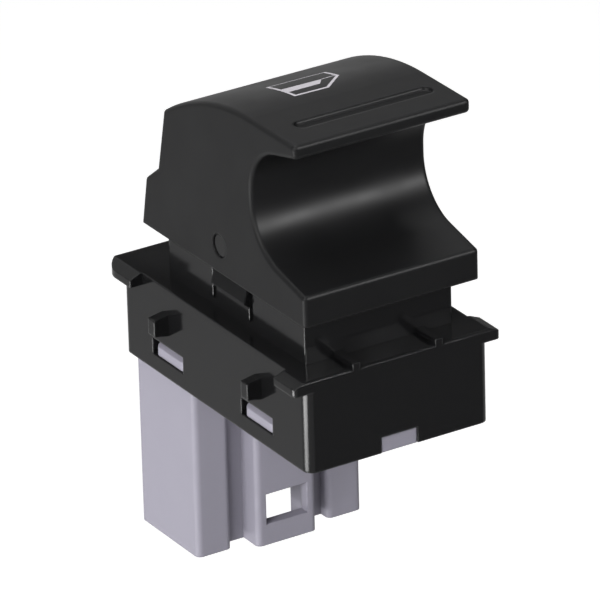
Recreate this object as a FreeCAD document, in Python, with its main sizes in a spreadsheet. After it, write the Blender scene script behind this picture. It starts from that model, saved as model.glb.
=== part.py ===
import FreeCAD, Part
import os
import re
import Sketcher

# Vehicle window switch: a black rocker cap with a finger scoop tilts on the neck of a clip-in
# housing, and a grey connector base snaps into the housing from below.
# Frame: X to the right, Y towards the back, Z up, in millimetres. The origin is the centre of the
# panel opening, in the plane of the flange's underside, which seats on the panel.

sizes = {
    # Housing skirt, below the panel
    "housing_width": 21.0,
    "housing_length": 34.7,
    "housing_depth": 8.6,
    "housing_wall": 1.3,
    "corner_round": 1.05,
    # Flange, on top of the panel; flush with the skirt in front, its side rims are cut away
    # between the corners
    "flange_thickness": 1.3,
    "flange_side": 1.4,
    "flange_back": 1.5,
    "flange_back_corner": 2.6,
    "flange_front_corner": 0.5,
    "side_bevel_run": 1.2,
    "side_bevel_drop": 0.5,
    "front_bevel": 0.2,
    "back_bevel": 0.35,
    "rim_cut_front": 13.6,
    "rim_cut_back": 13.4,
    # Low ribs on the flange, from the front edge to the neck
    "flange_rib_reach": 4.75,
    "flange_rib_width": 0.85,
    "flange_rib_height": 0.6,
    # Nubs on the skirt, which hold the panel up against the flange
    "nub_front": -8.4,
    "nub_back": 9.1,
    "nub_width": 1.2,
    "nub_reach": 1.65,
    "nub_top": 1.75,
    "nub_height": 1.7,
    "nub_taper": 0.3,
    # Windows in the skirt, with the base's snap lugs in them
    "window_front": -7.95,
    "window_back": 8.85,
    "window_length": 5.8,
    "window_height": 1.8,
    "window_top": 5.1,
    "notch_width": 4.2,
    "notch_height": 1.7,
    # Neck, which carries the rocker on two spring tongues
    "pivot_y": -1.0,
    "pivot_z": 9.55,
    "pin_radius": 1.2,
    "pin_play": 0.06,
    "pin_recess": 0.15,
    "neck_width": 16.9,
    "neck_ahead": 12.9,
    "neck_behind": 12.4,
    "neck_wall": 1.3,
    "neck_front_drop": 3.4,
    "neck_tower_rise": 2.45,
    "neck_tower_ahead": 3.6,
    "neck_tower_behind": 4.0,
    "neck_back_drop": 1.6,
    "tongue_half": 3.4,
    "tongue_shift": 0.4,
    "tongue_slot": 0.6,
    "tongue_root": 2.0,
    "pad_reach": 0.6,
    "pad_foot": 3.5,
    "pad_ridge": 4.0,
    "pad_top": 6.3,
    # Rocker cap; places are measured from the pivot axis
    "rocker_gap": 0.29,
    "rocker_side": 1.3,
    "rocker_wall": 1.5,
    "rocker_foot": 2.9,
    "low_lip_reach": 15.6,
    "low_lip_rise": 0.3,
    "scoop_reach": 6.2,
    "scoop_floor": 2.45,
    "scoop_ceiling": 12.3,
    "scoop_floor_radius": 5.8,
    "scoop_ceiling_radius": 5.4,
    "lip_reach": 14.5,
    "lip_under": 14.4,
    "roof_rise": 15.8,
    "roof_radius": 29.0,
    "roof_back": 10.0,
    "back_foot": 11.5,
    "back_foot_rise": 4.1,
    "ledge_reach": 13.9,
    "ledge_rise": 2.25,
    "ledge_foot": 14.9,
    "rocker_edge": 0.45,
    # Thumb groove across the roof, a round-ended trough with soft edges
    "groove_ahead": 10.3,
    "groove_left": 7.3,
    "groove_right": 8.3,
    "groove_half_width": 0.85,
    "groove_depth": 0.36,
    "groove_soft": 0.3,
    # Forks under the rocker, hooked on the plungers' cross pins
    "fork_arm": 6.0,
    "fork_thickness": 1.2,
    "fork_half": 1.7,
    "fork_foot": 1.2,
    "fork_play": 0.08,
    "hook_mouth": 0.85,
    # Plungers, which slide in guides on the housing's deck
    "plunger_radius": 1.5,
    "plunger_play": 0.08,
    "plunger_head": 0.6,
    "plunger_slot": 1.4,
    "slot_depth": 1.95,
    "cross_pin_radius": 0.5,
    "guide_wall": 0.9,
    "guide_top": 5.0,
    "foot_length": 8.6,
    "foot_width": 2.6,
    "foot_thickness": 1.6,
    "foot_gap": 0.02,
    # Connector base
    "base_play": 0.1,
    "base_floor": 1.5,
    "arm_thickness": 1.0,
    "arm_height": 2.5,
    "lug_foot_gap": 0.06,
    "lug_head_gap": 0.15,
    "lug_ramp": 0.7,
    "lug_ahead_gap": 0.15,
    "lug_behind_gap": 0.4,
    "lug_inset": 0.15,
    "lug_round": 0.5,
    "tab_play": 0.1,
    "shroud_bottom": 27.5,
    "shroud_half": 9.7,
    "shroud_gap": 0.1,
    "shroud_inset": 0.75,
    "shroud_length": 11.0,
    "block_inner": 5.7,
    "shroud_wall": 1.2,
    "shroud_recess": 1.4,
    "latch_half": 3.5,
    "latch_ahead": 1.4,
    "latch_side": 0.6,
    "latch_hole_width": 4.85,
    "latch_hole_height": 3.35,
    "latch_hole_foot": 2.3,
    "socket_depth": 14.0,
    "block_round": 0.6,
    # Circuit board and what stands on it
    "board_thickness": 1.6,
    "board_gap": 0.15,
    "board_end_gap": 0.35,
    "mat_base": 0.6,
    "mat_width": 12.4,
    "mat_margin": 3.6,
    "dome_spread": 3.1,
    "dome_height": 1.75,
    "dome_foot_radius": 2.2,
    "dome_top_radius": 1.4,
    "dome_skin": 0.5,
    "pill_radius": 0.85,
    "pill_thickness": 0.5,
    "lamp_width": 2.8,
    "lamp_length": 3.2,
    "lamp_height": 1.5,
    "lamp_lens_radius": 1.1,
    "lamp_lens_height": 0.4,
    "lamp_margin": 0.6,
    "resistor_length": 3.2,
    "resistor_width": 1.6,
    "resistor_height": 0.6,
    "resistor_spread": 3.0,
    "resistor_edge": 3.8,
    # Terminals: two rows of blades from the board into the plug socket
    "blade_width": 1.5,
    "blade_thickness": 0.64,
    "blade_pitch": 3.6,
    "blade_row": 2.9,
    "blade_above": 0.8,
    "blade_recess": 5.5,
    "blade_tip": 1.0,
    "blade_play": 0.03,
    # Clear light guide under the rocker's roof
    "guide_gap": 0.04,
    "guide_plate": 1.5,
    "guide_half": 3.9,
    "guide_ahead": 4.2,
    "guide_behind": 1.6,
    "guide_stem_radius": 1.7,
    "guide_stem_foot": 3.6,
}

doc = FreeCAD.newDocument("window_switch")
sheet = doc.addObject("Spreadsheet::Sheet", "Sizes")
for row, (name, value) in enumerate(sizes.items(), 1):
    sheet.set(f"A{row}", name)
    sheet.set(f"B{row}", str(value))
    sheet.setAlias(f"B{row}", name)
doc.recompute()

# Places that several pieces share, written once as sums of sizes
housing_half = "housing_width / 2"
skirt_inside = "(housing_width / 2 - housing_wall)"
base_half = "(housing_width / 2 - housing_wall - base_play)"
base_end = "(housing_length / 2 - housing_wall - base_play)"
rocker_half = "(neck_width / 2 + rocker_gap + rocker_side)"
board_half = "(housing_width / 2 - housing_wall - base_play - arm_thickness - board_gap)"
board_bottom = "(base_floor - housing_depth)"
board_top = "(base_floor - housing_depth + board_thickness)"
dome_top = "(base_floor - housing_depth + board_thickness + dome_height)"
board_end = "(housing_length / 2 - housing_wall - base_play - board_end_gap)"
shroud_back = "(housing_length / 2 - shroud_inset)"
shroud_front = "(housing_length / 2 - shroud_inset - shroud_length)"
latch_front = "(housing_length / 2 - shroud_inset - shroud_length - latch_ahead)"
socket_front = "(housing_length / 2 - shroud_inset - shroud_length + shroud_recess + shroud_wall)"
socket_back = "(housing_length / 2 - shroud_inset - shroud_wall)"
socket_middle = "(housing_length / 2 - shroud_inset - shroud_length / 2 + shroud_recess / 2)"
socket_roof = "(socket_depth - shroud_bottom)"
fork_places = {"front": "(pivot_y - fork_arm)", "rear": "(pivot_y + fork_arm)"}
window_places = {"front": "window_front", "back": "window_back"}


def full(text):
    """Write a sum of sizes so that every object of the document can read it."""
    return re.sub(r"[a-z][a-z0-9_]*",
                  lambda word: "Sizes." + word.group() if word.group() in sizes else word.group(), text)


def number(text):
    """Work out a sum of sizes."""
    return float(sheet.evalExpression(text))


def roof_at(place, depth="0"):
    """Height of the arched roof at a distance behind the pivot, or of a layer under it."""
    return (f"(pivot_z + roof_rise - roof_radius + "
            f"sqrt((roof_radius - ({depth})) ^ 2 - (({place}) + scoop_reach) ^ 2))")


def new_body(name):
    """Start one sub-part."""
    body = doc.addObject("PartDesign::Body", name)
    body.Label = name
    return body


def new_sketch(body, name, role, height="0"):
    """Attach a sketch to one of the body's origin planes, raised along the plane's normal."""
    plane = next(item for item in body.Origin.OriginFeatures if item.Role == role)
    sketch = body.newObject("Sketcher::SketchObject", name)
    sketch.AttachmentSupport = [(plane, "")]
    sketch.MapMode = "FlatFace"
    sketch.setExpression("AttachmentOffset.Base.z", full(height))
    return sketch


def pin_point(sketch, geometry, position, across, up):
    """Tie a point of the sketch to sizes on the sheet."""
    for kind, text in (("DistanceX", across), ("DistanceY", up)):
        index = sketch.addConstraint(Sketcher.Constraint(kind, -1, 1, geometry, position, number(text)))
        sketch.setExpression(f"Constraints[{index}]", full(text))


def outline(sketch, corners, arcs=None):
    """Draw a closed outline; arcs names the sides that are arcs, with their centre's place across."""
    arcs = arcs or {}
    spots = [FreeCAD.Vector(number(x), number(y), 0) for x, y in corners]
    ends = []
    for side, start in enumerate(spots):
        finish = spots[(side + 1) % len(spots)]
        if side not in arcs:
            index = sketch.addGeometry(Part.LineSegment(start, finish))
            ends.append((index, 1, 2))
            continue
        middle = number(arcs[side])
        level = ((finish.x - middle) ** 2 + finish.y ** 2 - (start.x - middle) ** 2 - start.y ** 2)
        centre = FreeCAD.Vector(middle, level / (2 * (finish.y - start.y)), 0)
        circle = Part.Circle(centre, FreeCAD.Vector(0, 0, 1), start.distanceToPoint(centre))
        arc = Part.ArcOfCircle(circle, circle.parameter(finish), circle.parameter(start))
        index = sketch.addGeometry(arc)
        ends.append((index, 2, 1))
        link = sketch.addConstraint(Sketcher.Constraint("DistanceX", -1, 1, index, 3, middle))
        sketch.setExpression(f"Constraints[{link}]", full(arcs[side]))
    for side, (index, first, last) in enumerate(ends):
        following = ends[(side + 1) % len(ends)]
        sketch.addConstraint(Sketcher.Constraint("Coincident", index, last, following[0], following[1]))
        pin_point(sketch, index, first, *corners[side])


def rectangle(x_low, x_high, y_low, y_high):
    """Corners of an upright rectangle."""
    return [(x_low, y_low), (x_high, y_low), (x_high, y_high), (x_low, y_high)]


def circle(sketch, across, up, radius):
    """Draw a circle tied to sizes on the sheet."""
    spot = FreeCAD.Vector(number(across), number(up), 0)
    index = sketch.addGeometry(Part.Circle(spot, FreeCAD.Vector(0, 0, 1), number(radius)))
    pin_point(sketch, index, 3, across, up)
    link = sketch.addConstraint(Sketcher.Constraint("Radius", index, number(radius)))
    sketch.setExpression(f"Constraints[{link}]", full(radius))


def pad(body, name, sketch, length, both_ways=False):
    """Grow the body from a sketch."""
    feature = body.newObject("PartDesign::Pad", name)
    feature.Profile = sketch
    feature.Midplane = both_ways
    feature.setExpression("Length", full(length))
    sketch.Visibility = False
    return feature


def pocket(body, name, sketch, length, both_ways=False, upwards=False):
    """Cut the body from a sketch, against the sketch plane's normal unless told otherwise."""
    feature = body.newObject("PartDesign::Pocket", name)
    feature.Profile = sketch
    feature.Midplane = both_ways
    feature.Reversed = upwards
    feature.setExpression("Length", full(length))
    sketch.Visibility = False
    return feature


def edges_where(feature, test):
    """Names of the edges whose middle and direction satisfy a test."""
    names = []
    for index, edge in enumerate(feature.Shape.Edges, 1):
        if edge.Degenerated:
            continue
        middle = edge.valueAt((edge.FirstParameter + edge.LastParameter) / 2)
        along = edge.tangentAt((edge.FirstParameter + edge.LastParameter) / 2)
        if test(middle, along, edge):
            names.append(f"Edge{index}")
    return names


def near(one, other):
    """True where two lengths are the same."""
    return abs(one - other) < 0.01


def round_edges(body, name, test, radius):
    """Round the edges of the body's last feature that satisfy a test."""
    doc.recompute()
    base = body.Tip
    names = edges_where(base, test)
    feature = body.newObject("PartDesign::Fillet", name)
    feature.Base = (base, names)
    feature.setExpression("Radius", full(radius))


def across(along):
    """True for an edge that runs along X."""
    return abs(along.x) > 0.99


def upright(along):
    """True for an edge that runs along Z."""
    return abs(along.z) > 0.99


# Rocker cap
# The side outline is one closed profile: lower lip, scoop, upper lip, arched roof, back and ledge.

def from_pivot(behind, above):
    """A place given by its distance behind and above the pivot axis."""
    return (f"pivot_y + ({behind})", f"pivot_z + ({above})")


def rocker_button():
    body = new_body("rocker_button")
    side = new_sketch(body, "rocker_side", "YZ_Plane")
    corners = [
        from_pivot("-low_lip_reach", "-rocker_foot"),
        from_pivot("-low_lip_reach", "low_lip_rise"),
        from_pivot("-scoop_reach", "scoop_floor"),
        from_pivot("-scoop_reach", "scoop_ceiling"),
        from_pivot("-lip_reach", "lip_under"),
        from_pivot("-lip_reach", "roof_rise"),
        from_pivot("-scoop_reach", "roof_rise"),
        ("pivot_y + roof_back", roof_at("roof_back")),
        from_pivot("back_foot", "back_foot_rise"),
        from_pivot("ledge_reach", "ledge_rise"),
        from_pivot("ledge_foot", "-rocker_foot"),
    ]
    outline(side, corners, {6: "pivot_y - scoop_reach"})
    pad(body, "cap", side, f"2 * {rocker_half}", both_ways=True)

    scoop_line = number("pivot_y - scoop_reach")
    for name, corner, radius in (("scoop_floor_round", 2, "scoop_floor_radius"),
                                 ("scoop_ceiling_round", 3, "scoop_ceiling_radius")):
        height = number(corners[corner][1])
        round_edges(body, name, lambda middle, along, edge: across(along)
                    and near(middle.y, scoop_line) and near(middle.z, height), radius)
    soft_corners = [(number(y), number(z)) for y, z in (corners[1], corners[4], corners[5], *corners[7:10])]
    round_edges(body, "soft_corners", lambda middle, along, edge: across(along) and any(
        near(middle.y, y) and near(middle.z, z) for y, z in soft_corners), "rocker_edge")
    flank = number(rocker_half)
    foot = number("pivot_z - rocker_foot")
    round_edges(body, "side_rims", lambda middle, along, edge: near(abs(middle.x), flank)
                and not near(middle.z, foot), "rocker_edge")

    cavity = new_sketch(body, "cavity_side", "YZ_Plane")
    inner_top = "roof_rise - rocker_wall"
    floor_slope = "(scoop_floor - low_lip_rise) / (low_lip_reach - scoop_reach)"
    ceiling_drop = f"low_lip_rise - 1.1 * rocker_wall + rocker_wall * {floor_slope}"
    hollow = [
        from_pivot("-low_lip_reach + rocker_wall", "-rocker_foot - 1"),
        from_pivot("-low_lip_reach + rocker_wall", ceiling_drop),
        from_pivot("-scoop_reach + rocker_wall",
                   f"{ceiling_drop} + (low_lip_reach - scoop_reach) * {floor_slope}"),
        from_pivot("-scoop_reach + rocker_wall", "scoop_ceiling - 3"),
        from_pivot("-scoop_reach - rocker_wall", inner_top),
        from_pivot("-scoop_reach", inner_top),
        ("pivot_y + roof_back - rocker_wall", roof_at("roof_back - rocker_wall", "rocker_wall")),
        from_pivot("back_foot - 1.05 * rocker_wall", "back_foot_rise - 0.4 * rocker_wall"),
        from_pivot("ledge_reach - 0.85 * rocker_wall", "ledge_rise - 0.6 * rocker_wall"),
        from_pivot("ledge_foot - 0.75 * rocker_wall", "-rocker_foot - 1"),
    ]
    outline(cavity, hollow, {5: "pivot_y - scoop_reach"})
    pocket(body, "cavity", cavity, "neck_width + 2 * rocker_gap", both_ways=True)
    inner_line = number("pivot_y - scoop_reach + rocker_wall")
    inner_floor = number(hollow[2][1])
    round_edges(body, "cavity_round", lambda middle, along, edge: across(along)
                and near(middle.y, inner_line) and near(middle.z, inner_floor),
                "scoop_floor_radius + rocker_wall - 1.5")

    forks = new_sketch(body, "fork_sides", "YZ_Plane")
    outline(forks, [
        from_pivot("-fork_arm - fork_half", "-fork_foot"),
        from_pivot("-fork_arm + fork_half", "-fork_foot"),
        from_pivot("-fork_arm + fork_half", "scoop_floor + 1.2"),
        from_pivot("-scoop_reach + 0.8", "scoop_floor + 1.2"),
        from_pivot("-fork_arm - fork_half", "scoop_floor - 0.3"),
    ])
    outline(forks, [
        from_pivot("fork_arm - fork_half", "-fork_foot"),
        from_pivot("fork_arm + fork_half", "-fork_foot"),
        ("pivot_y + fork_arm + fork_half", roof_at("fork_arm + fork_half", "rocker_wall / 2")),
        ("pivot_y + fork_arm - fork_half", roof_at("fork_arm - fork_half", "rocker_wall / 2")),
    ])
    pad(body, "forks", forks, "fork_thickness", both_ways=True)

    hooks = new_sketch(body, "hook_sides", "YZ_Plane")
    for place in fork_places.values():
        circle(hooks, place, "pivot_z", "cross_pin_radius + fork_play")
    pocket(body, "hooks", hooks, "2 * fork_thickness", both_ways=True)
    mouths = new_sketch(body, "hook_mouths", "YZ_Plane")
    for place in fork_places.values():
        outline(mouths, rectangle(f"{place} - hook_mouth / 2", f"{place} + hook_mouth / 2",
                                  "pivot_z - fork_foot - 1", "pivot_z"))
    pocket(body, "mouths", mouths, "2 * fork_thickness", both_ways=True)

    holes = new_sketch(body, "pivot_holes", "YZ_Plane")
    circle(holes, "pivot_y", "pivot_z", "pin_radius + pin_play")
    pocket(body, "pivots", holes, f"2 * {rocker_half} + 1", both_ways=True)

    groove = new_sketch(body, "groove_plan", "XY_Plane", "pivot_z + roof_rise")
    outline(groove, rectangle("-groove_left", "groove_right", "pivot_y - groove_ahead - groove_half_width",
                              "pivot_y - groove_ahead + groove_half_width"))
    pocket(body, "thumb_groove", groove, "groove_depth")
    middle_y = number("pivot_y - groove_ahead")
    roof = number("pivot_z + roof_rise")
    round_edges(body, "groove_ends", lambda middle, along, edge: upright(along) and middle.z > roof - 1
                and near(abs(middle.y - middle_y), number("groove_half_width")), "0.95 * groove_half_width")
    floor = number("pivot_z + roof_rise - groove_depth")
    round_edges(body, "groove_floor", lambda middle, along, edge: near(middle.z, floor)
                and abs(middle.y - middle_y) < number("groove_half_width") + 0.01, "groove_soft")
    return body


# Housing: flange, neck and skirt in one moulding

def bevel(turn, edge, run, drop):
    """Outline of what comes off the flange's top edge on one side."""
    low = f"flange_thickness - {drop}"
    return [(f"{turn} * ({edge} - {run})", "flange_thickness"), (f"{turn} * ({edge})", low),
            (f"{turn} * ({edge} + 1)", low), (f"{turn} * ({edge} + 1)", "flange_thickness + 1"),
            (f"{turn} * ({edge} - {run})", "flange_thickness + 1")]


def housing():
    body = new_body("housing")
    front = "-housing_length / 2"
    back = "housing_length / 2"
    skirt = new_sketch(body, "skirt_plan", "XY_Plane", "-housing_depth")
    outline(skirt, rectangle(f"-{housing_half}", housing_half, front, back))
    pad(body, "skirt", skirt, "housing_depth")
    round_edges(body, "skirt_corners", lambda middle, along, edge: upright(along), "corner_round")

    rim = new_sketch(body, "flange_plan", "XY_Plane")
    outline(rim, rectangle(f"-{housing_half} - flange_side", f"{housing_half} + flange_side",
                           front, f"{back} + flange_back"))
    pad(body, "flange", rim, "flange_thickness")
    for name, end in (("flange_back_corner", f"{back} + flange_back"), ("flange_front_corner", front)):
        level = number(end)
        round_edges(body, name + "s", lambda middle, along, edge: upright(along)
                    and middle.z > 0 and near(middle.y, level), name)
    sides = new_sketch(body, "side_bevels", "XZ_Plane")
    for turn in (-1, 1):
        outline(sides, bevel(turn, f"{housing_half} + flange_side", "side_bevel_run", "side_bevel_drop"))
    pocket(body, "side_bevel_cuts", sides, "2 * housing_length", both_ways=True)
    ends = new_sketch(body, "end_bevels", "YZ_Plane")
    outline(ends, bevel(-1, "housing_length / 2", "front_bevel", "front_bevel"))
    outline(ends, bevel(1, "housing_length / 2 + flange_back", "back_bevel", "back_bevel"))
    pocket(body, "end_bevel_cuts", ends, "2 * housing_width", both_ways=True)
    rims = new_sketch(body, "rim_cut_plan", "XY_Plane", "flange_thickness + 1")
    outer = f"{housing_half} + flange_side + 1"
    outline(rims, rectangle(f"-({outer})", f"-{housing_half}", "-rim_cut_front", "rim_cut_back"))
    outline(rims, rectangle(housing_half, outer, "-rim_cut_front", "rim_cut_back"))
    pocket(body, "rim_cuts", rims, "flange_thickness + 1")

    neck = new_sketch(body, "neck_plan", "XY_Plane", "flange_thickness - 0.5")
    neck_front = "pivot_y - neck_ahead"
    neck_back = "pivot_y + neck_behind"
    outline(neck, rectangle("-neck_width / 2", "neck_width / 2", neck_front, neck_back))
    tower = "pivot_z + neck_tower_rise"
    pad(body, "neck", neck, f"{tower} - flange_thickness + 0.5")
    for name, corners in (
            ("neck_front_cut", [from_pivot("-neck_ahead - 1", "-neck_front_drop"),
                                from_pivot("-neck_ahead + 4", "-neck_front_drop + 0.4"),
                                from_pivot("-neck_tower_ahead", "neck_tower_rise"),
                                from_pivot("-neck_tower_ahead", "neck_tower_rise + 1"),
                                from_pivot("-neck_ahead - 1", "neck_tower_rise + 1")]),
            ("neck_back_cut", [from_pivot("neck_behind + 1", "-neck_back_drop"),
                               from_pivot("neck_behind + 1", "neck_tower_rise + 1"),
                               from_pivot("neck_tower_behind", "neck_tower_rise + 1"),
                               from_pivot("neck_tower_behind", "neck_tower_rise")])):
        cut = new_sketch(body, name + "_side", "YZ_Plane")
        outline(cut, corners)
        pocket(body, name, cut, "neck_width + 2", both_ways=True)

    inside = new_sketch(body, "neck_inside", "XY_Plane", tower)
    outline(inside, rectangle("-neck_width / 2 + neck_wall", "neck_width / 2 - neck_wall",
                              f"{neck_front} + neck_wall", f"{neck_back} - neck_wall"))
    pocket(body, "neck_hollow", inside, f"{tower} - flange_thickness")
    below = new_sketch(body, "skirt_inside", "XY_Plane", "-housing_depth")
    outline(below, rectangle(f"-{skirt_inside}", skirt_inside,
                             f"{front} + housing_wall", f"{back} - housing_wall"))
    pocket(body, "skirt_hollow", below, "housing_depth", upwards=True)

    slots = new_sketch(body, "tongue_slots", "YZ_Plane")
    for turn in (-1, 1):
        middle = f"pivot_y + tongue_shift + {turn} * tongue_half"
        outline(slots, rectangle(f"{middle} - tongue_slot / 2", f"{middle} + tongue_slot / 2",
                                 "tongue_root", f"{tower} + 1"))
    pocket(body, "tongues", slots, "neck_width + 2", both_ways=True)

    guides = new_sketch(body, "guide_plan", "XY_Plane", "flange_thickness / 2")
    for place in fork_places.values():
        circle(guides, "0", place, "plunger_radius + plunger_play + guide_wall")
    pad(body, "guides", guides, "guide_top - flange_thickness / 2")
    bores = new_sketch(body, "bore_plan", "XY_Plane", "guide_top + 1")
    for place in fork_places.values():
        circle(bores, "0", place, "plunger_radius + plunger_play")
    pocket(body, "guide_bores", bores, "guide_top + 2")
    light = new_sketch(body, "light_plan", "XY_Plane", "flange_thickness + 1")
    circle(light, "0", "pivot_y", "guide_stem_radius + 0.9")
    pocket(body, "light_opening", light, "flange_thickness + 2")

    windows = new_sketch(body, "window_sides", "YZ_Plane")
    for place in window_places.values():
        outline(windows, rectangle(f"{place} - window_length / 2", f"{place} + window_length / 2",
                                   "-window_top - window_height", "-window_top"))
    pocket(body, "windows", windows, "housing_width + 2", both_ways=True)
    notch = new_sketch(body, "notch_face", "XZ_Plane", "housing_length / 2 + 1")
    outline(notch, rectangle("-notch_width / 2", "notch_width / 2", "-housing_depth - 1",
                             "notch_height - housing_depth"))
    pocket(body, "front_notch", notch, "housing_wall + 1.2")

    for turn, side in ((-1, "left"), (1, "right")):
        face = f"{turn} * neck_width / 2"
        wedge = new_sketch(body, f"{side}_pad_profile", "XZ_Plane", "-pivot_y - tongue_shift")
        outline(wedge, [(f"{face} - {turn} * 0.5", "pad_foot"), (face, "pad_foot"),
                        (f"{face} + {turn} * pad_reach", "pad_ridge"),
                        (face, "pad_top"), (f"{face} - {turn} * 0.5", "pad_top")])
        pad(body, f"{side}_tongue_pad", wedge, "2 * tongue_half - tongue_slot", both_ways=True)
        pin = new_sketch(body, f"{side}_pin_face", "YZ_Plane", f"{face} - {turn} * neck_wall / 2")
        circle(pin, "pivot_y", "pivot_z", "pin_radius")
        boss = pad(body, f"{side}_pin", pin, f"{rocker_half} - pin_recess - neck_width / 2 + neck_wall / 2")
        boss.Reversed = turn < 0

    for turn, side in ((-1, "left"), (1, "right")):
        for place in ("nub_front", "nub_back"):
            wall = f"{turn} * {housing_half}"
            nub = new_sketch(body, f"{side}_{place}_profile", "XZ_Plane", f"-{place}")
            outline(nub, [(f"{wall} - {turn} * 0.5", "nub_taper - nub_top"), (wall, "nub_taper - nub_top"),
                          (f"{wall} + {turn} * nub_reach", "-nub_top"),
                          (f"{wall} + {turn} * nub_reach", "-nub_top - nub_height"),
                          (wall, "-nub_top - nub_height - nub_taper"),
                          (f"{wall} - {turn} * 0.5", "-nub_top - nub_height - nub_taper")])
            pad(body, f"{side}_{place}", nub, "nub_width", both_ways=True)

    ribs = new_sketch(body, "flange_rib_plan", "XY_Plane", "flange_thickness - 0.3")
    for turn in (-1, 1):
        middle = f"{turn} * flange_rib_reach"
        outline(ribs, rectangle(f"{middle} - flange_rib_width / 2", f"{middle} + flange_rib_width / 2",
                                front, f"{neck_front} + 0.3"))
    pad(body, "flange_ribs", ribs, "flange_rib_height + 0.3")
    return body


# Connector base: floor, snap arms, front tab and plug shroud in one moulding

def connector_base():
    body = new_body("connector_base")
    top = "base_floor - housing_depth"
    shroud = new_sketch(body, "shroud_plan", "XY_Plane", "-shroud_bottom")
    inner_front = f"{shroud_front} + shroud_recess"
    outline(shroud, [
        ("-shroud_half", shroud_back), ("-shroud_half", shroud_front),
        ("-block_inner", shroud_front), ("-block_inner", inner_front),
        ("-latch_half", inner_front), ("-latch_half", latch_front),
        ("latch_half", latch_front), ("latch_half", inner_front),
        ("block_inner", inner_front), ("block_inner", shroud_front),
        ("shroud_half", shroud_front), ("shroud_half", shroud_back),
    ])
    pad(body, "shroud", shroud, "shroud_bottom - housing_depth - shroud_gap")
    inner_line = number(inner_front)
    round_edges(body, "block_corners", lambda middle, along, edge: upright(along)
                and not near(middle.y, inner_line), "block_round")
    floor = new_sketch(body, "floor_plan", "XY_Plane", "-housing_depth - 2 * shroud_gap")
    outline(floor, rectangle(f"-{base_half}", base_half, f"-{base_end}", base_end))
    pad(body, "floor", floor, "base_floor + 2 * shroud_gap")

    socket = new_sketch(body, "socket_plan", "XY_Plane", "-shroud_bottom")
    side = "shroud_half - shroud_wall"
    step = "block_inner + shroud_wall"
    key = "latch_half - latch_side"
    outline(socket, [
        (f"-({side})", socket_back), (f"-({side})", f"{shroud_front} + shroud_wall"),
        (f"-({step})", f"{shroud_front} + shroud_wall"), (f"-({step})", socket_front),
        (f"-({key})", socket_front), (f"-({key})", f"{latch_front} + shroud_wall"),
        (key, f"{latch_front} + shroud_wall"), (key, socket_front),
        (step, socket_front), (step, f"{shroud_front} + shroud_wall"),
        (side, f"{shroud_front} + shroud_wall"), (side, socket_back),
    ])
    pocket(body, "socket", socket, "socket_depth", upwards=True)
    hole = new_sketch(body, "latch_face", "XZ_Plane", f"1 - {latch_front}")
    outline(hole, rectangle("-latch_hole_width / 2", "latch_hole_width / 2",
                            "latch_hole_foot - shroud_bottom",
                            "latch_hole_foot + latch_hole_height - shroud_bottom"))
    pocket(body, "latch_window", hole, "shroud_wall + 1.5")

    tab = new_sketch(body, "tab_plan", "XY_Plane", "-housing_depth")
    outline(tab, rectangle("-notch_width / 2 + tab_play", "notch_width / 2 - tab_play",
                           "-housing_length / 2 + tab_play", f"-{base_end} + 2 * tab_play"))
    pad(body, "front_tab", tab, "notch_height - tab_play")

    for place in window_places.values():
        for turn, side in ((-1, "left"), (1, "right")):
            face = f"{turn} * {base_half}"
            ridge = f"{turn} * ({housing_half} - lug_inset)"
            root = f"{turn} * ({base_half} - arm_thickness)"
            arm = new_sketch(body, f"{side}_{place}_arm_profile", "XZ_Plane",
                             f"(lug_ahead_gap - lug_behind_gap) / -2 - ({place})")
            outline(arm, [(root, f"{top} - 0.5"), (face, f"{top} - 0.5"),
                          (face, "-window_top - window_height + lug_foot_gap"),
                          (ridge, "-window_top - window_height + lug_foot_gap"),
                          (ridge, "-window_top - lug_head_gap - lug_ramp"),
                          (face, "-window_top - lug_head_gap"),
                          (face, f"{top} + arm_height"), (root, f"{top} + arm_height")])
            pad(body, f"{side}_{place}_arm", arm, "window_length - lug_ahead_gap - lug_behind_gap",
                both_ways=True)
    ridge_line = number(f"{housing_half} - lug_inset")
    round_edges(body, "lug_ends", lambda middle, along, edge: upright(along)
                and near(abs(middle.x), ridge_line), "lug_round")

    slots = new_sketch(body, "blade_slots", "XY_Plane", f"{top} + 0.5")
    for x, y in blade_places():
        outline(slots, rectangle(f"{x} - blade_width / 2 - blade_play", f"{x} + blade_width / 2 + blade_play",
                                 f"{y} - blade_thickness / 2 - blade_play",
                                 f"{y} + blade_thickness / 2 + blade_play"))
    pocket(body, "blade_holes", slots, "shroud_bottom - socket_depth - housing_depth + base_floor + 1.5")
    return body


def blade_places():
    """Centres of the six terminals, row by row."""
    return [(f"({column} * blade_pitch)", f"({socket_middle} + {row} * blade_row / 2)")
            for row in (-1, 1) for column in (-1, 0, 1)]


# Terminals: flat blades with a pointed plug end

def terminal(index, place):
    x, y = place
    body = new_body(f"terminal_{index}")
    face = new_sketch(body, f"blade_face_{index}", "XZ_Plane", f"-{y}")
    low = "blade_recess - shroud_bottom"
    high = f"{board_top} + blade_above"
    outline(face, [
        (f"{x} - blade_width / 2", high), (f"{x} - blade_width / 2", f"{low} + blade_tip"),
        (f"{x} - blade_width / 5", low), (f"{x} + blade_width / 5", low),
        (f"{x} + blade_width / 2", f"{low} + blade_tip"), (f"{x} + blade_width / 2", high),
    ])
    pad(body, f"blade_{index}", face, "blade_thickness", both_ways=True)
    return body


# Plungers: a round stem with a forked head and a cross foot, moulded with its cross pin

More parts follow.
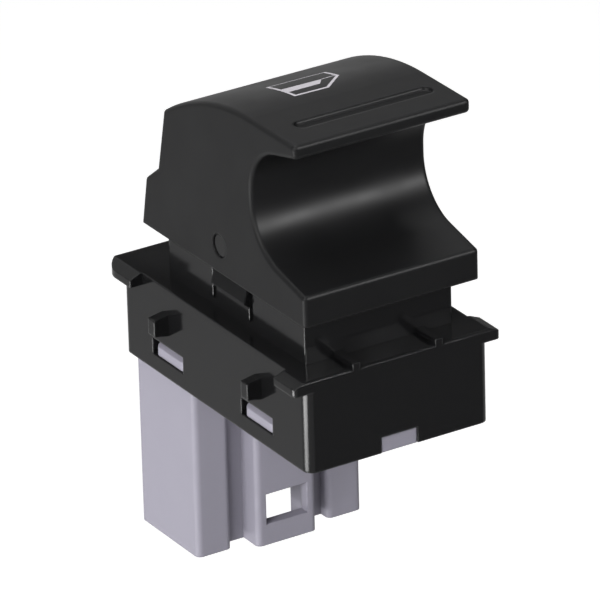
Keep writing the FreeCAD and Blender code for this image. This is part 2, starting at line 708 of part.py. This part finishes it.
def plunger(name, place):
    body = new_body(name)
    stem = new_sketch(body, name + "_stem", "XY_Plane", f"{dome_top} + foot_gap")
    circle(stem, "0", place, "plunger_radius")
    pad(body, name + "_rod", stem, f"pivot_z + plunger_head - ({dome_top} + foot_gap)")
    slot = new_sketch(body, name + "_slot_face", "YZ_Plane")
    outline(slot, rectangle(f"{place} - plunger_radius - 1", f"{place} + plunger_radius + 1",
                            "pivot_z - slot_depth", "pivot_z + plunger_head + 1"))
    pocket(body, name + "_slot", slot, "plunger_slot", both_ways=True)
    pin = new_sketch(body, name + "_pin_face", "YZ_Plane")
    circle(pin, place, "pivot_z", "cross_pin_radius")
    pad(body, name + "_pin", pin, "plunger_slot + 0.6", both_ways=True)
    foot = new_sketch(body, name + "_foot_plan", "XY_Plane", f"{dome_top} + foot_gap")
    outline(foot, rectangle("-foot_length / 2", "foot_length / 2",
                            f"{place} - foot_width / 2", f"{place} + foot_width / 2"))
    pad(body, name + "_foot", foot, "foot_thickness")
    return body


# Light guide: a curved plate under the roof with a round stem over the lamp

def light_guide():
    body = new_body("light_guide")
    side = new_sketch(body, "plate_side", "YZ_Plane")
    gap = "rocker_wall + guide_gap"
    plate = "rocker_wall + guide_gap + guide_plate"
    outline(side, [
        ("pivot_y - guide_ahead", roof_at("-guide_ahead", gap)),
        ("pivot_y + guide_behind", roof_at("guide_behind", gap)),
        ("pivot_y + guide_behind", roof_at("guide_behind", plate)),
        ("pivot_y - guide_ahead", roof_at("guide_behind", plate)),
    ], {0: "pivot_y - scoop_reach"})
    pad(body, "plate", side, "2 * guide_half", both_ways=True)
    stem = new_sketch(body, "stem_plan", "XY_Plane", "pivot_z + guide_stem_foot")
    circle(stem, "0", "pivot_y", "guide_stem_radius")
    pad(body, "stem", stem, f"{roof_at('guide_behind', plate)} + 0.5 - pivot_z - guide_stem_foot")
    return body


# Flat and turned pieces, made from primitives

def bind(item, **fields):
    """Tie an object's sizes to the sheet; x, y and z are its place."""
    for field, text in fields.items():
        path = f"Placement.Base.{field}" if field in ("x", "y", "z") else field
        item.setExpression(path, full(text))
    return item


def block(name, x_low, x_high, y_low, y_high, z_low, z_high):
    item = doc.addObject("Part::Box", name)
    return bind(item, x=x_low, y=y_low, z=z_low, Length=f"{x_high} - ({x_low})",
                Width=f"{y_high} - ({y_low})", Height=f"{z_high} - ({z_low})")


def cylinder(name, x, y, z, radius, height):
    return bind(doc.addObject("Part::Cylinder", name), x=x, y=y, z=z, Radius=radius, Height=height)


def cone(name, x, y, z, low_radius, high_radius, height):
    return bind(doc.addObject("Part::Cone", name), x=x, y=y, z=z,
                Radius1=low_radius, Radius2=high_radius, Height=height)


def joined(name, pieces):
    item = doc.addObject("Part::MultiFuse", name)
    item.Shapes = pieces
    return item


def cut_from(name, base, tools):
    item = doc.addObject("Part::Cut", name)
    item.Base = base
    item.Tool = joined(name + "_tools", tools) if len(tools) > 1 else tools[0]
    return item


def circuit_board():
    sheet_part = block("board_sheet", f"-{board_half}", board_half, f"-{board_end}", board_end,
                       board_bottom, board_top)
    holes = [block(f"board_hole_{index}", f"{x} - blade_width / 2 - blade_play",
                   f"{x} + blade_width / 2 + blade_play", f"{y} - blade_thickness / 2 - blade_play",
                   f"{y} + blade_thickness / 2 + blade_play", f"{board_bottom} - 1", f"{board_top} + 1")
             for index, (x, y) in enumerate(blade_places(), 1)]
    return cut_from("circuit_board", sheet_part, holes)


def dome_places():
    """Centres of the four domes, under the plungers' feet."""
    return [(f"({turn} * dome_spread)", place) for place in fork_places.values() for turn in (-1, 1)]


def dome_mat():
    carpet = block("mat_sheet", "-mat_width / 2", "mat_width / 2", "pivot_y - fork_arm - mat_margin",
                   "pivot_y + fork_arm + mat_margin", board_top, f"{board_top} + mat_base")
    domes = []
    hollows = []
    for index, (x, y) in enumerate(dome_places(), 1):
        domes.append(cone(f"dome_{index}", x, y, board_top, "dome_foot_radius", "dome_top_radius",
                          "dome_height"))
        hollows.append(cone(f"dome_hollow_{index}", x, y, board_top, "dome_foot_radius - dome_skin",
                            "dome_top_radius - dome_skin / 2", "dome_height - dome_skin"))
    window = block("lamp_window", "-lamp_width / 2 - lamp_margin", "lamp_width / 2 + lamp_margin",
                   "pivot_y - lamp_length / 2 - lamp_margin", "pivot_y + lamp_length / 2 + lamp_margin",
                   f"{board_top} - 1", f"{board_top} + mat_base + 1")
    return cut_from("dome_mat", joined("mat_solid", [carpet, *domes]), [*hollows, window])


def contact_pill(index, place):
    x, y = place
    return cylinder(f"contact_pill_{index}", x, y, f"{board_top} + dome_height - dome_skin - pill_thickness",
                    "pill_radius", "pill_thickness")


def symbol_lamp():
    case = block("lamp_case", "-lamp_width / 2", "lamp_width / 2", "pivot_y - lamp_length / 2",
                 "pivot_y + lamp_length / 2", board_top, f"{board_top} + lamp_height")
    lens = cylinder("lamp_lens", "0", "pivot_y", f"{board_top} + lamp_height - 0.2", "lamp_lens_radius",
                    "lamp_lens_height + 0.2")
    return joined("symbol_lamp", [case, lens])


def resistor(index, turn):
    middle = f"{turn} * resistor_spread"
    return block(f"resistor_{index}", f"{middle} - resistor_length / 2", f"{middle} + resistor_length / 2",
                 f"resistor_edge - {board_end} - resistor_width / 2",
                 f"resistor_edge - {board_end} + resistor_width / 2",
                 board_top, f"{board_top} + resistor_height")


sub_parts = [rocker_button(), housing(), connector_base(), circuit_board(), dome_mat(), symbol_lamp(),
             light_guide()]
sub_parts += [plunger(f"{name}_plunger", place) for name, place in fork_places.items()]
sub_parts += [terminal(index, place) for index, place in enumerate(blade_places(), 1)]
sub_parts += [contact_pill(index, place) for index, place in enumerate(dome_places(), 1)]
sub_parts += [resistor(1, -1), resistor(2, 1)]
doc.recompute()

for item in doc.Objects:
    if "Invalid" in item.State or "Error" in item.State:
        raise RuntimeError(f"{item.Label} could not be built: {item.State}")
os.makedirs("parts", exist_ok=True)
for item in sub_parts:
    if item.Shape.isNull() or not item.Shape.isValid() or not item.Shape.Solids:
        raise RuntimeError(f"{item.Label} has no valid solid")
for item in sub_parts:
    item.Shape.exportStep(f"parts/{item.Label}.step")
    print(f"{item.Label}: {len(item.Shape.Solids)} solid, {item.Shape.Volume:.1f} mm3")
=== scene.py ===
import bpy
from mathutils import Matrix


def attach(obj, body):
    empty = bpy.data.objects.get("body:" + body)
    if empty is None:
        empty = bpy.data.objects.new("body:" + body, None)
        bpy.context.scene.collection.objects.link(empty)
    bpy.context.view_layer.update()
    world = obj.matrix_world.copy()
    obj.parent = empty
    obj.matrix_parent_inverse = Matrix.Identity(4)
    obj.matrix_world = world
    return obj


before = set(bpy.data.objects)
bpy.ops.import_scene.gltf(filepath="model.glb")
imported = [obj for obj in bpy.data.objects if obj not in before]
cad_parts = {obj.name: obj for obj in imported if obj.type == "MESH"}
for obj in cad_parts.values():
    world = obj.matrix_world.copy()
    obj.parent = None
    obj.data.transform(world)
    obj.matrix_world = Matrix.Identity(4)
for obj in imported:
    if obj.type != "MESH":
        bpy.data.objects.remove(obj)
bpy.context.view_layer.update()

import math

import bmesh
import bpy
from mathutils import Matrix, Vector

# Rocker cap
# The black key that the finger tilts. Injection-moulded ABS with a fine spark-eroded texture, hooked
# on the housing's two pivot pins through the round holes in its side walls.
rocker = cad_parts["rocker_button"]


def moulded_grain_group():
    """Spark-eroded mould texture: fine pits on slow waves of gloss."""
    group = bpy.data.node_groups.new("moulded grain", "ShaderNodeTree")
    sockets = group.interface
    for name, value in (("Pit Size", 0.0002), ("Gloss Patch", 0.006), ("Roughness Low", 0.3),
                        ("Roughness High", 0.4)):
        sockets.new_socket(name, in_out="INPUT", socket_type="NodeSocketFloat").default_value = value
    sockets.new_socket("Roughness", in_out="OUTPUT", socket_type="NodeSocketFloat")
    sockets.new_socket("Height", in_out="OUTPUT", socket_type="NodeSocketFloat")
    nodes, links = group.nodes, group.links
    inside = nodes.new("NodeGroupInput")
    outside = nodes.new("NodeGroupOutput")
    place = nodes.new("ShaderNodeTexCoord")

    def noise(size_socket, detail):
        """Noise on the piece itself, with features of a given size in metres."""
        scale = nodes.new("ShaderNodeMath")
        scale.operation = "DIVIDE"
        scale.inputs[0].default_value = 1.0
        links.new(inside.outputs[size_socket], scale.inputs[1])
        texture = nodes.new("ShaderNodeTexNoise")
        texture.inputs["Detail"].default_value = detail
        links.new(place.outputs["Object"], texture.inputs["Vector"])
        links.new(scale.outputs[0], texture.inputs["Scale"])
        return texture

    pits = noise("Pit Size", 3.0)
    pits.inputs["Roughness"].default_value = 0.6
    patches = noise("Gloss Patch", 2.0)
    spread = nodes.new("ShaderNodeMapRange")
    spread.inputs["From Min"].default_value = 0.3
    spread.inputs["From Max"].default_value = 0.7
    links.new(patches.outputs["Fac"], spread.inputs["Value"])
    links.new(inside.outputs["Roughness Low"], spread.inputs["To Min"])
    links.new(inside.outputs["Roughness High"], spread.inputs["To Max"])
    links.new(spread.outputs["Result"], outside.inputs["Roughness"])
    links.new(pits.outputs["Fac"], outside.inputs["Height"])
    return group


def edge_wear_group():
    """Outward edges only: their rounded normal, and a mask where handling polishes the plastic."""
    group = bpy.data.node_groups.new("edge wear", "ShaderNodeTree")
    sockets = group.interface
    sockets.new_socket("Width", in_out="INPUT", socket_type="NodeSocketFloat").default_value = 0.0003
    sockets.new_socket("Breakup", in_out="INPUT", socket_type="NodeSocketFloat").default_value = 900.0
    sockets.new_socket("Mask", in_out="OUTPUT", socket_type="NodeSocketFloat")
    sockets.new_socket("Soft Normal", in_out="OUTPUT", socket_type="NodeSocketVector")
    nodes, links = group.nodes, group.links
    inside = nodes.new("NodeGroupInput")
    outside = nodes.new("NodeGroupOutput")

    def step(value_socket, low, high):
        """Ramp from 0 at the low value to 1 at the high one."""
        ramp = nodes.new("ShaderNodeMapRange")
        ramp.inputs["From Min"].default_value = low
        ramp.inputs["From Max"].default_value = high
        links.new(value_socket, ramp.inputs["Value"])
        return ramp.outputs["Result"]

    def product(one, other):
        """Both masks at once."""
        both = nodes.new("ShaderNodeMath")
        both.operation = "MULTIPLY"
        links.new(one, both.inputs[0])
        links.new(other, both.inputs[1])
        return both.outputs[0]

    # The rounded normal leaves the plain one near an edge.
    rounded = nodes.new("ShaderNodeBevel")
    rounded.samples = 6
    links.new(inside.outputs["Width"], rounded.inputs["Radius"])
    plain = nodes.new("ShaderNodeNewGeometry")
    agreement = nodes.new("ShaderNodeVectorMath")
    agreement.operation = "DOT_PRODUCT"
    links.new(rounded.outputs["Normal"], agreement.inputs[0])
    links.new(plain.outputs["Normal"], agreement.inputs[1])
    at_edge = step(agreement.outputs["Value"], 0.995, 0.86)

    # Inner corners are shaded by the piece itself and stay sharp.
    reach = nodes.new("ShaderNodeMath")
    reach.operation = "MULTIPLY"
    reach.inputs[1].default_value = 1.5
    links.new(inside.outputs["Width"], reach.inputs[0])
    crevice = nodes.new("ShaderNodeAmbientOcclusion")
    crevice.samples = 6
    crevice.only_local = True
    links.new(reach.outputs[0], crevice.inputs["Distance"])
    open_air = step(crevice.outputs["AO"], 0.80, 0.97)
    outward = nodes.new("ShaderNodeMix")
    outward.data_type = "VECTOR"
    links.new(open_air, outward.inputs["Factor"])
    links.new(plain.outputs["Normal"], outward.inputs[4])
    links.new(rounded.outputs["Normal"], outward.inputs[5])

    # Wear comes in patches along the edge.
    place = nodes.new("ShaderNodeTexCoord")
    spots = nodes.new("ShaderNodeTexNoise")
    spots.inputs["Detail"].default_value = 3.0
    links.new(place.outputs["Object"], spots.inputs["Vector"])
    links.new(inside.outputs["Breakup"], spots.inputs["Scale"])
    patchy = step(spots.outputs["Fac"], 0.35, 0.65)
    links.new(product(product(at_edge, patchy), open_air), outside.inputs["Mask"])
    links.new(outward.outputs[1], outside.inputs["Soft Normal"])
    return group


moulded_grain = moulded_grain_group()
edge_wear = edge_wear_group()


def plastic(name, colour, worn_colour, roughness, pit_size, pit_depth, edge, ior):
    """Moulded plastic: grain, gloss patches and polished edges."""
    material = bpy.data.materials.new(name)
    material.use_nodes = True
    nodes, links = material.node_tree.nodes, material.node_tree.links
    shader = nodes["Principled BSDF"]
    shader.inputs["IOR"].default_value = ior
    grain = nodes.new("ShaderNodeGroup")
    grain.node_tree = moulded_grain
    grain.inputs["Pit Size"].default_value = pit_size
    grain.inputs["Roughness Low"].default_value = roughness[0]
    grain.inputs["Roughness High"].default_value = roughness[1]
    wear = nodes.new("ShaderNodeGroup")
    wear.node_tree = edge_wear
    wear.inputs["Width"].default_value = edge
    tone = nodes.new("ShaderNodeMix")
    tone.data_type = "RGBA"
    tone.inputs["A"].default_value = (*colour, 1)
    tone.inputs["B"].default_value = (*worn_colour, 1)
    links.new(wear.outputs["Mask"], tone.inputs["Factor"])
    links.new(tone.outputs["Result"], shader.inputs["Base Color"])
    links.new(grain.outputs["Roughness"], shader.inputs["Roughness"])
    relief = nodes.new("ShaderNodeBump")
    relief.inputs["Distance"].default_value = pit_depth
    relief.inputs["Strength"].default_value = 0.6
    links.new(grain.outputs["Height"], relief.inputs["Height"])
    links.new(wear.outputs["Soft Normal"], relief.inputs["Normal"])
    links.new(relief.outputs["Normal"], shader.inputs["Normal"])
    return material


def dress(piece, material):
    """Give a piece its finish."""
    piece.data.materials.clear()
    piece.data.materials.append(material)


dress(rocker, plastic("satin black key", (0.0045, 0.0045, 0.0048), (0.0075, 0.0075, 0.008),
                      roughness=(0.35, 0.44), pit_size=0.00012, pit_depth=0.0000025,
                      edge=0.00036, ior=1.27))

# Window sign
# Light grey outline of a side window with the pane's edge across it, laser-etched through the black
# coat of the rocker's roof, so it lies in the surface and follows the roof's arch. Its corners and
# line widths are in millimetres, in plan.
ROOF_CENTRE = Vector((0, -0.0072, -0.00365))
ROOF_RADIUS = 0.0290
SIGN_LIFT = 0.00001
SIGN_LINE = 0.31
SIGN_BACK_LINE = 0.15
SIGN_PANE = ((-3.30, -3.62), (0.36, -3.62), (1.25, -2.45), (-3.34, -2.30))
SIGN_PANE_EDGE = ((1.25, -2.53), (2.90, -2.44), (2.90, -2.30), (1.28, -2.37))
sign_corners = [Vector(corner) for corner in ((-3.45, -5.10), (0.42, -5.20), (3.15, -2.70),
                                              (3.00, -0.30), (-3.72, -0.12))]
sign_widths = [SIGN_LINE, SIGN_LINE, SIGN_LINE, SIGN_BACK_LINE, SIGN_LINE]


def on_roof(x, y):
    """Point of the roof above a place in plan: flat in front of the arch's centre, arched behind it."""
    run = max(0.0, y - ROOF_CENTRE.y)
    height = ROOF_CENTRE.z + math.sqrt(ROOF_RADIUS ** 2 - run ** 2)
    return Vector((x, y, height + SIGN_LIFT))


def roof_patch(mesh, corners, steps=10, strips=4):
    """Four-cornered patch of the sign, laid on the roof; corners run round it in millimetres."""
    a, b, c, d = [Vector(corner) / 1000 for corner in corners]
    rows = []
    for step in range(steps + 1):
        left = a.lerp(d, step / steps)
        right = b.lerp(c, step / steps)
        rows.append([mesh.verts.new(on_roof(*left.lerp(right, across / strips)))
                     for across in range(strips + 1)])
    for low, high in zip(rows, rows[1:]):
        for across in range(strips):
            mesh.faces.new((low[across], low[across + 1], high[across + 1], high[across]))


def inset_corner(index):
    """Corner of the sign's inner outline, each side moved in by its own line width."""
    here = sign_corners[index]
    before = (here - sign_corners[index - 1]).normalized()
    after = (sign_corners[(index + 1) % 5] - here).normalized()
    first = here + Vector((-before.y, before.x)) * sign_widths[index - 1]
    second = here + Vector((-after.y, after.x)) * sign_widths[index]
    along = (second - first).cross(after) / before.cross(after)
    return first + before * along


sign_mesh = bmesh.new()
for index in range(5):
    following = (index + 1) % 5
    roof_patch(sign_mesh, (sign_corners[index], sign_corners[following],
                           inset_corner(following), inset_corner(index)))
roof_patch(sign_mesh, SIGN_PANE)
roof_patch(sign_mesh, SIGN_PANE_EDGE)
sign_shape = bpy.data.meshes.new("window_sign")
sign_mesh.normal_update()
sign_mesh.to_mesh(sign_shape)
sign_mesh.free()
window_sign = bpy.data.objects.new("window_sign", sign_shape)
bpy.context.scene.collection.objects.link(window_sign)
dress(window_sign, plastic("etched light grey", (0.37, 0.355, 0.38), (0.39, 0.375, 0.40),
                           roughness=(0.45, 0.6), pit_size=0.00008, pit_depth=0.000002,
                           edge=0.00001, ior=1.4))
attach(window_sign, "rocker")

# Housing
# Flange, neck with the two spring tongues, and skirt, moulded as one in glossy black ABS. The nubs
# on the skirt hold the panel, and the four windows take the grey base's lugs.
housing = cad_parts["housing"]
dress(housing, plastic("glossy black frame", (0.005, 0.005, 0.0053), (0.008, 0.008, 0.0085),
                       roughness=(0.10, 0.16), pit_size=0.0004, pit_depth=0.0000015,
                       edge=0.00026, ior=1.30))

# Connector base
# Floor, snap lugs and plug shroud in one lavender-grey moulding of glass-filled polybutylene, which
# snaps into the housing's windows from below.
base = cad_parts["connector_base"]
dress(base, plastic("lavender grey base", (0.222, 0.213, 0.254), (0.25, 0.24, 0.285),
                    roughness=(0.42, 0.55), pit_size=0.00016, pit_depth=0.000003,
                    edge=0.00022, ior=1.4))

# Circuit board
# Green solder-masked glass-epoxy laminate, cut from a panel. It lies on the base's floor and carries
# the contacts, the lamp, the resistors and the blades.
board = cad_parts["circuit_board"]
dress(board, plastic("solder mask green", (0.02, 0.10, 0.035), (0.35, 0.33, 0.2),
                     roughness=(0.2, 0.3), pit_size=0.0006, pit_depth=0.000004,
                     edge=0.0001, ior=1.45))

# Lamp resistors
# Two thick-film chips, black glaze on white ceramic with tinned ends, soldered to the front of
# the board.
for name in ("resistor_1", "resistor_2"):
    glaze = plastic(name + " glaze", (0.02, 0.02, 0.022), (0.5, 0.5, 0.5), roughness=(0.3, 0.45),
                    pit_size=0.0002, pit_depth=0.000003, edge=0.0001, ior=1.45)
    dress(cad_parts[name], glaze)

# Dome mat and contact pills
# Translucent silicone sheet with four collapsing domes, which return the rocker to the middle.
# A carbon-filled pill is moulded under the roof of each dome.
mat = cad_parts["dome_mat"]
dress(mat, plastic("milky silicone", (0.62, 0.63, 0.61), (0.7, 0.7, 0.68), roughness=(0.5, 0.65),
                   pit_size=0.0003, pit_depth=0.000004, edge=0.0002, ior=1.4))
pill_black = plastic("carbon pill", (0.015, 0.015, 0.015), (0.03, 0.03, 0.03), roughness=(0.6, 0.75),
                     pit_size=0.0001, pit_depth=0.000005, edge=0.0001, ior=1.4)
for number in range(1, 5):
    dress(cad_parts[f"contact_pill_{number}"], pill_black)

# Plungers
# Natural acetal sliders, moulded with their cross pins, in the guides of the housing's deck. The
# rocker's forks hold the cross pins.
acetal = plastic("natural acetal", (0.74, 0.72, 0.66), (0.8, 0.79, 0.74), roughness=(0.28, 0.38),
                 pit_size=0.0003, pit_depth=0.000003, edge=0.0002, ior=1.45)
for name in ("front_plunger", "rear_plunger"):
    dress(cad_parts[name], acetal)

# Symbol lamp
# Surface-mounted light-emitting diode: a white moulded case with a clear domed window, soldered to
# the middle of the board.
lamp_case = plastic("lamp case white", (0.8, 0.8, 0.76), (0.85, 0.85, 0.8), roughness=(0.2, 0.3),
                    pit_size=0.0003, pit_depth=0.000002, edge=0.0001, ior=1.45)
dress(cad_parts["symbol_lamp"], lamp_case)

# Light guide
# Clear moulded acrylic: a curved plate close under the roof and a round stem over the lamp, which
# carry the lamp's light to the sign.
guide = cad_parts["light_guide"]
clear = bpy.data.materials.new("clear acrylic")
clear.use_nodes = True
clear_nodes, clear_links = clear.node_tree.nodes, clear.node_tree.links
clear_shader = clear_nodes["Principled BSDF"]
clear_shader.inputs["Base Color"].default_value = (0.92, 0.95, 0.97, 1)
clear_shader.inputs["Transmission Weight"].default_value = 1.0
clear_shader.inputs["IOR"].default_value = 1.49
clear_grain = clear_nodes.new("ShaderNodeGroup")
clear_grain.node_tree = moulded_grain
clear_grain.inputs["Pit Size"].default_value = 0.0005
clear_grain.inputs["Roughness Low"].default_value = 0.04
clear_grain.inputs["Roughness High"].default_value = 0.12
clear_links.new(clear_grain.outputs["Roughness"], clear_shader.inputs["Roughness"])
dress(guide, clear)

# Terminals
# Six blades stamped from brass strip and tin-plated, pressed through the base's floor and soldered
# into the board. Bare brass shows at their worn edges.
tin = bpy.data.materials.new("tin plate")
tin.use_nodes = True
tin_nodes, tin_links = tin.node_tree.nodes, tin.node_tree.links
tin_shader = tin_nodes["Principled BSDF"]
tin_shader.inputs["Metallic"].default_value = 1.0
tin_grain = tin_nodes.new("ShaderNodeGroup")
tin_grain.node_tree = moulded_grain
tin_grain.inputs["Pit Size"].default_value = 0.00015
tin_grain.inputs["Gloss Patch"].default_value = 0.0015
tin_grain.inputs["Roughness Low"].default_value = 0.2
tin_grain.inputs["Roughness High"].default_value = 0.38
tin_wear = tin_nodes.new("ShaderNodeGroup")
tin_wear.node_tree = edge_wear
tin_wear.inputs["Width"].default_value = 0.00008
tin_tone = tin_nodes.new("ShaderNodeMix")
tin_tone.data_type = "RGBA"
tin_tone.inputs["A"].default_value = (0.62, 0.61, 0.58, 1)
tin_tone.inputs["B"].default_value = (0.66, 0.52, 0.28, 1)
tin_links.new(tin_wear.outputs["Mask"], tin_tone.inputs["Factor"])
tin_links.new(tin_tone.outputs["Result"], tin_shader.inputs["Base Color"])
tin_links.new(tin_grain.outputs["Roughness"], tin_shader.inputs["Roughness"])
tin_relief = tin_nodes.new("ShaderNodeBump")
tin_relief.inputs["Distance"].default_value = 0.000003
tin_links.new(tin_grain.outputs["Height"], tin_relief.inputs["Height"])
tin_links.new(tin_relief.outputs["Normal"], tin_shader.inputs["Normal"])
for number in range(1, 7):
    dress(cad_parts[f"terminal_{number}"], tin)

# Paper floor
# Roll of white studio paper, lit from below so that it is plain white to the camera. It lies far
# under the switch, which hangs as it would in its panel.
FLOOR_LEVEL = -0.60
FLOOR_REACH = 6
paper_shape = bpy.data.meshes.new("studio_floor")
paper_shape.from_pydata([(-FLOOR_REACH, -FLOOR_REACH, FLOOR_LEVEL), (FLOOR_REACH, -FLOOR_REACH, FLOOR_LEVEL),
                         (FLOOR_REACH, FLOOR_REACH, FLOOR_LEVEL), (-FLOOR_REACH, FLOOR_REACH, FLOOR_LEVEL)],
                        [], [(0, 1, 2, 3)])
paper_floor = bpy.data.objects.new("studio_floor", paper_shape)
bpy.context.scene.collection.objects.link(paper_floor)


def paper(name, dark, light):
    """Matt paper or card with a faint fibre mottle."""
    material = bpy.data.materials.new(name)
    material.use_nodes = True
    nodes, links = material.node_tree.nodes, material.node_tree.links
    shader = nodes["Principled BSDF"]
    shader.inputs["Roughness"].default_value = 0.9
    shader.inputs["Specular IOR Level"].default_value = 0.1
    place = nodes.new("ShaderNodeTexCoord")
    fibre = nodes.new("ShaderNodeTexNoise")
    fibre.inputs["Scale"].default_value = 400.0
    tone = nodes.new("ShaderNodeMix")
    tone.data_type = "RGBA"
    tone.inputs["A"].default_value = (dark, dark, dark, 1)
    tone.inputs["B"].default_value = (light, light, light, 1)
    links.new(place.outputs["Object"], fibre.inputs["Vector"])
    links.new(fibre.outputs["Fac"], tone.inputs["Factor"])
    links.new(tone.outputs["Result"], shader.inputs["Base Color"])
    return material


white_paper = paper("white paper", 0.90, 0.92)
paper_nodes, paper_links = white_paper.node_tree.nodes, white_paper.node_tree.links
paper_shader = paper_nodes["Principled BSDF"]
paper_shader.inputs["Emission Color"].default_value = (0.46, 0.46, 0.46, 1)
backlight = paper_nodes.new("ShaderNodeLightPath")
paper_links.new(backlight.outputs["Is Camera Ray"], paper_shader.inputs["Emission Strength"])
dress(paper_floor, white_paper)

# Shading cards
# A grey and a dark card on stands, which the glossy plastic mirrors: the first keeps the front faces
# deep black, the second the top of the flange.


def facing(item, place, target):
    """Put a card or a light in a place, turned to face a point, out of the camera's sight."""
    item.location = place
    item.rotation_mode = "QUATERNION"
    item.rotation_quaternion = (Vector(target) - Vector(place)).to_track_quat("-Z", "Y")
    item.visible_camera = False
    bpy.context.scene.collection.objects.link(item)


def card(name, place, width, height, material):
    """Upright card that faces the switch."""
    half_width, half_height = width / 2, height / 2
    shape = bpy.data.meshes.new(name)
    shape.from_pydata([(-half_width, -half_height, 0), (half_width, -half_height, 0),
                       (half_width, half_height, 0), (-half_width, half_height, 0)], [], [(0, 1, 2, 3)])
    item = bpy.data.objects.new(name, shape)
    facing(item, place, (0, 0, 0))
    dress(item, material)


card("front_card", (0.165, -0.27, -0.148), 0.40, 0.30, paper("grey card", 0.16, 0.20))
card("back_card", (0.44, 0.72, 0.40), 0.20, 0.15, paper("dark card", 0.04, 0.05))

# Studio lights
# Fabric-covered soft boxes: a window-like key at the front left, a large one overhead, a low strip for
# the upright corners' streaks, a small one for the band in the finger scoop, which is shaded from
# the grey base, and a broad fill for the base alone.


def soft_light(name, place, width, height, power, lit_pieces=()):
    """Rectangular soft light aimed at the switch, or at some pieces of it alone."""
    lamp = bpy.data.lights.new(name, "AREA")
    lamp.shape = "RECTANGLE"
    lamp.size = width
    lamp.size_y = height
    lamp.energy = power
    item = bpy.data.objects.new(name, lamp)
    facing(item, place, (0, 0, 0.005))
    if lit_pieces:
        receivers = bpy.data.collections.new(name + " receivers")
        for piece in lit_pieces:
            receivers.objects.link(piece)
        item.light_linking.receiver_collection = receivers


soft_light("key_window", (-1.00, -0.62, 0.52), 0.8, 0.8, 12)
soft_light("ceiling", (0, 0.2, 2.0), 2.0, 2.0, 37)
soft_light("left_strip", (-0.52, -0.01, -0.24), 0.46, 0.05, 1.6)
soft_light("front_strip", (0.36, -0.84, 0.40), 0.14, 0.12, 7.5, [rocker, window_sign, housing])
soft_light("base_fill", (0.50, -1.05, -0.10), 0.6, 0.6, 6.6, [base])

# Room
# Pale walls behind the switch, which give the black plastic its grey sheen. The room is dark on
# the camera's side and far to the right, and plain pale wherever the camera looks at it.
BACK_WALL = 0.655
DARK_SIDE = 0.06
SEEN_WALL = 0.85
world = bpy.data.worlds.new("studio")
world.use_nodes = True
world_nodes, world_links = world.node_tree.nodes, world.node_tree.links
direction = world_nodes.new("ShaderNodeTexCoord")
parts = world_nodes.new("ShaderNodeSeparateXYZ")
world_links.new(direction.outputs["Generated"], parts.inputs["Vector"])
back_wall = world_nodes.new("ShaderNodeMapRange")
back_wall.inputs["From Min"].default_value = 0.05
back_wall.inputs["From Max"].default_value = 0.60
world_links.new(parts.outputs["Y"], back_wall.inputs["Value"])
right_wall = world_nodes.new("ShaderNodeMapRange")
right_wall.inputs["From Min"].default_value = 0.52
right_wall.inputs["From Max"].default_value = 0.62
right_wall.inputs["To Min"].default_value = 1.0
right_wall.inputs["To Max"].default_value = 0.1
world_links.new(parts.outputs["X"], right_wall.inputs["Value"])
lit_wall = world_nodes.new("ShaderNodeMath")
lit_wall.operation = "MULTIPLY"
world_links.new(back_wall.outputs["Result"], lit_wall.inputs[0])
world_links.new(right_wall.outputs["Result"], lit_wall.inputs[1])
room = world_nodes.new("ShaderNodeMix")
room.data_type = "RGBA"
room.inputs["A"].default_value = (DARK_SIDE, DARK_SIDE, DARK_SIDE, 1)
room.inputs["B"].default_value = (BACK_WALL, BACK_WALL, BACK_WALL, 1)
world_links.new(lit_wall.outputs[0], room.inputs["Factor"])
sight = world_nodes.new("ShaderNodeLightPath")
seen = world_nodes.new("ShaderNodeMix")
seen.data_type = "RGBA"
seen.inputs["B"].default_value = (SEEN_WALL, SEEN_WALL, SEEN_WALL, 1)
world_links.new(room.outputs["Result"], seen.inputs["A"])
world_links.new(sight.outputs["Is Camera Ray"], seen.inputs["Factor"])
world_links.new(seen.outputs["Result"], world_nodes["Background"].inputs["Color"])
bpy.context.scene.world = world

# Camera
# Long lens on a stand, seen from the front left and above, with the slight tilt of the
# photograph. Its aim and distance are in metres.
AZIMUTH = math.radians(31.40)
ELEVATION = math.radians(25.08)
TILT = math.radians(1.54)
DISTANCE = 0.757
SIDE_SHIFT = 0.0016035
SENSOR_WIDTH = 36.0
FOCAL_LENGTH = 461.22
aim = Vector((0.00034, -0.00192, 0.0013))
forward = Vector((math.sin(AZIMUTH) * math.cos(ELEVATION), math.cos(AZIMUTH) * math.cos(ELEVATION),
                  -math.sin(ELEVATION)))
turn = forward.to_track_quat("-Z", "Y").to_matrix() @ Matrix.Rotation(-TILT, 3, "Z")
camera = bpy.data.cameras.new("camera")
camera.sensor_width = SENSOR_WIDTH
camera.lens = FOCAL_LENGTH
camera.clip_start = 0.05
camera.clip_end = 20.0
viewpoint = bpy.data.objects.new("camera", camera)
viewpoint.rotation_mode = "QUATERNION"
viewpoint.rotation_quaternion = turn.to_quaternion()
viewpoint.location = aim - forward * DISTANCE - (turn @ Vector((1, 0, 0))) * SIDE_SHIFT
bpy.context.scene.collection.objects.link(viewpoint)
bpy.context.scene.camera = viewpoint
bpy.context.scene.view_settings.view_transform = "Standard"
